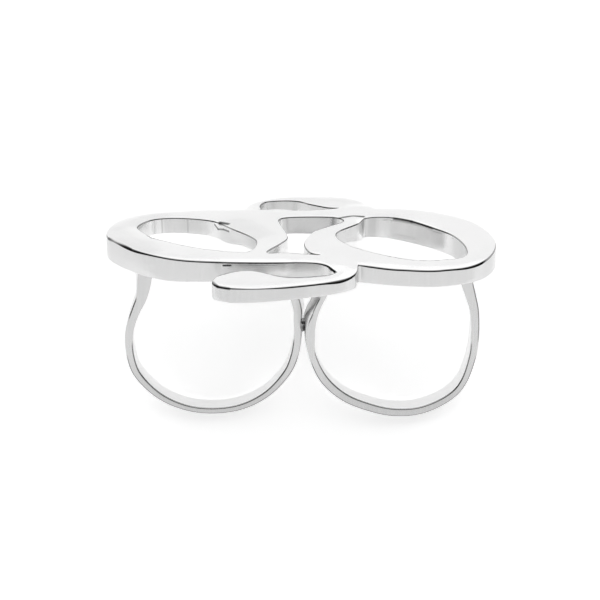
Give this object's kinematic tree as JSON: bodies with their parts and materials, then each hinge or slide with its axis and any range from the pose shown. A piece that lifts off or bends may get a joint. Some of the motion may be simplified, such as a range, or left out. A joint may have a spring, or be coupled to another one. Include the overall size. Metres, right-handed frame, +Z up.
{
  "type": "double finger ring",
  "caption": "One-piece polished ring worn over two fingers: a flat double swirl of open loops and hooks carried by two slim hoops side by side.",
  "frame": {"origin": "middle of the part's outline on the table that it rests on", "axes": "+X along the swirl, across both fingers; +Y towards the rear edge of the swirl, which rests on the table; +Z up"},
  "size_m": [0.0422, 0.0261, 0.0235],
  "materials": {
    "silver": "mirror-polished silver, slightly hand-worn"
  },
  "bodies": {
    "root": {"double_ring": "silver"}
  },
  "joints": []
}
